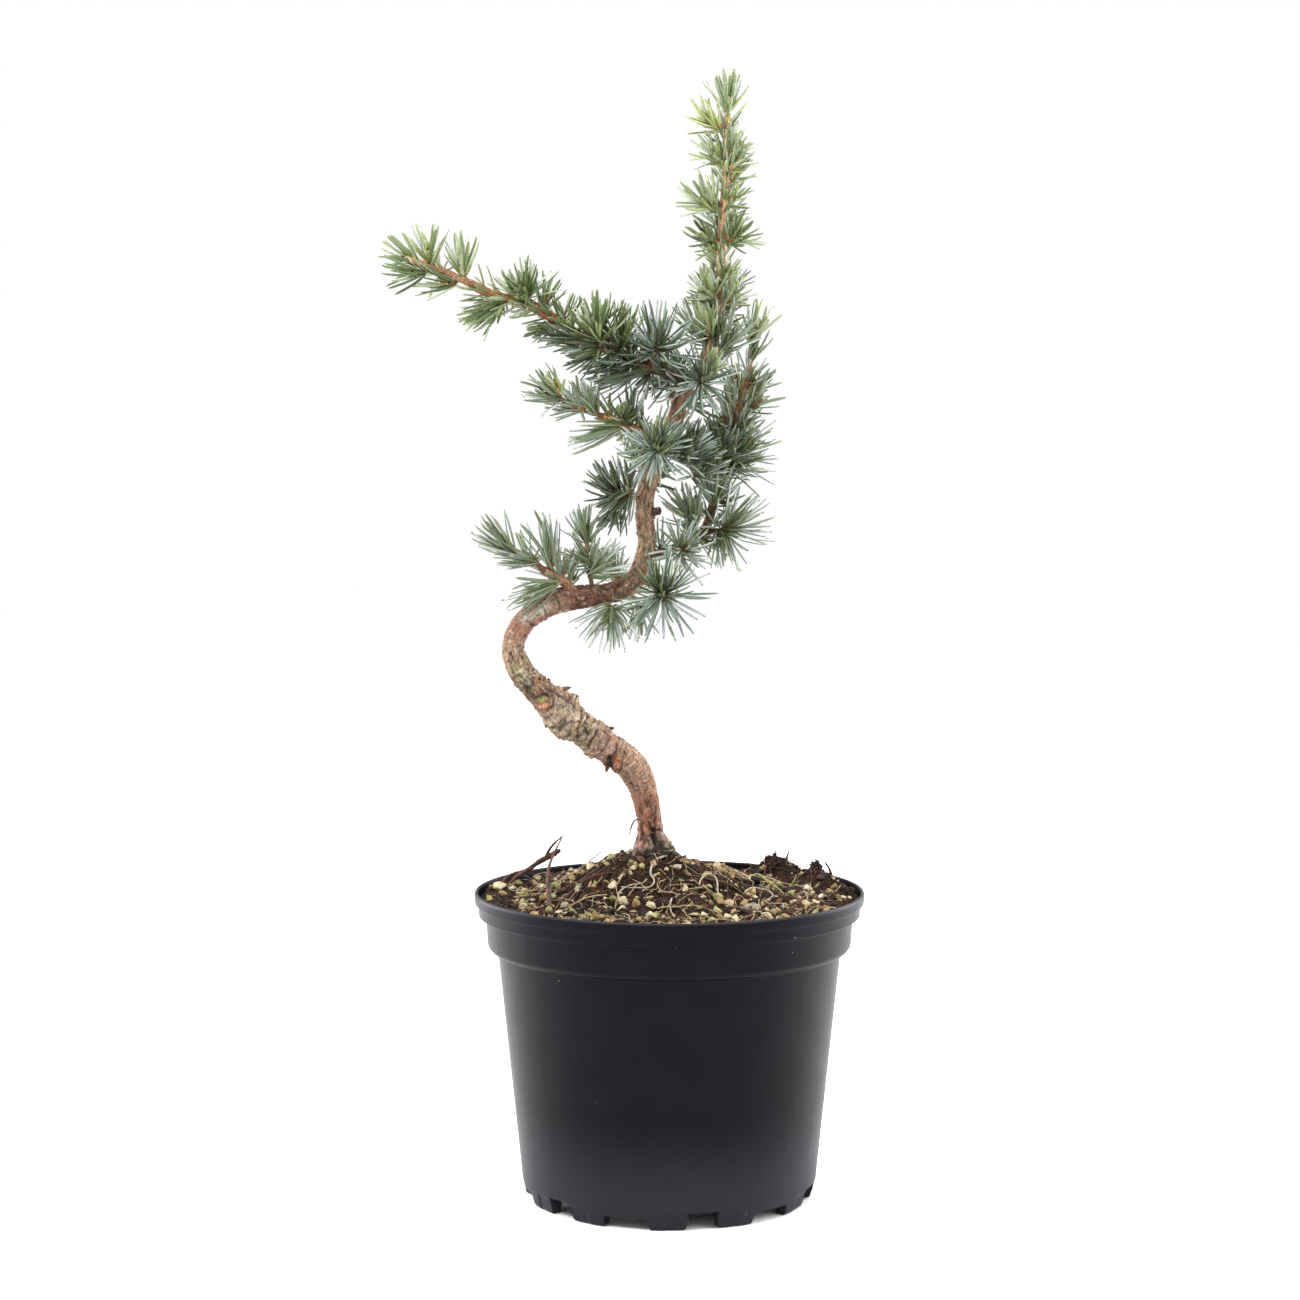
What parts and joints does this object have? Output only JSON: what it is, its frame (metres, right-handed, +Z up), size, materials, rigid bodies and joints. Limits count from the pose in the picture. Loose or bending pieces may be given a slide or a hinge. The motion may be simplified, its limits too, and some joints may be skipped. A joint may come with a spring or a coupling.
{
  "type": "potted conifer",
  "caption": "Young potted conifer: a bare trunk in an S-shaped bend, an upright leader and side boughs with open tufts of short needles, in a round black nursery pot of compost.",
  "frame": {"origin": "centre of the pot's underside, on the ground", "axes": "+Z up along the pot's axis and the plant's longest extent, -Y towards the viewer of the picture, +X to the viewer's right"},
  "size_m": [0.2337, 0.19, 0.5456],
  "materials": {
    "pot": "matt black moulded plastic with fine scuffs",
    "soil": "dark fibrous compost with pale grit",
    "bark": "rough flaking bark, grey-brown below and tan above",
    "needles": "waxy blue-green needles, yellow-green on the youngest shoots"
  },
  "bodies": {
    "root": {"pot": "pot", "soil": "soil", "trunk_lower": "bark", "trunk_middle": "bark", "trunk_upper": "bark", "leader": "bark", "bough_left_upper": "bark", "bough_left_middle": "bark", "bough_left_lower": "bark", "bough_right_lower": "bark", "bough_right_upper": "bark", "fallen_twig": "bark", "tuft_bend_back": "needles", "tuft_fork_front": "needles", "tuft_leader_back_high": "needles", "tuft_leader_back_low": "needles", "tuft_leader_left_low": "needles", "tuft_leader_left_middle": "needles", "tuft_leader_left_top": "needles", "tuft_leader_left_whorl": "needles", "tuft_leader_low_left": "needles", "tuft_leader_low_right": "needles", "tuft_leader_right_middle": "needles", "tuft_leader_right_top": "needles", "tuft_leader_shaft_left": "needles", "tuft_leader_shaft_right": "needles", "tuft_leader_tip": "needles", "tuft_left_lower_low": "needles", "tuft_left_lower_tip": "needles", "tuft_left_lower_top": "needles", "tuft_left_middle_root": "needles", "tuft_left_middle_tip": "needles", "tuft_left_middle_under": "needles", "tuft_left_upper_crest": "needles", "tuft_left_upper_front": "needles", "tuft_left_upper_hang": "needles", "tuft_left_upper_low": "needles", "tuft_left_upper_tip": "needles", "tuft_left_upper_top": "needles", "tuft_left_upper_under": "needles", "tuft_low_front": "needles", "tuft_low_right": "needles", "tuft_right_back": "needles", "tuft_right_dark": "needles", "tuft_right_end": "needles", "tuft_right_front": "needles", "tuft_right_inner": "needles", "tuft_right_side": "needles", "tuft_right_tall": "needles", "tuft_right_tip": "needles", "tuft_right_upper_edge": "needles", "tuft_right_upper_inner": "needles", "tuft_right_upper_side": "needles", "tuft_trunk_back_high": "needles", "tuft_trunk_back_low": "needles", "tuft_trunk_front": "needles", "tuft_trunk_left": "needles", "tuft_trunk_right": "needles", "tuft_upright": "needles"}
  },
  "joints": []
}
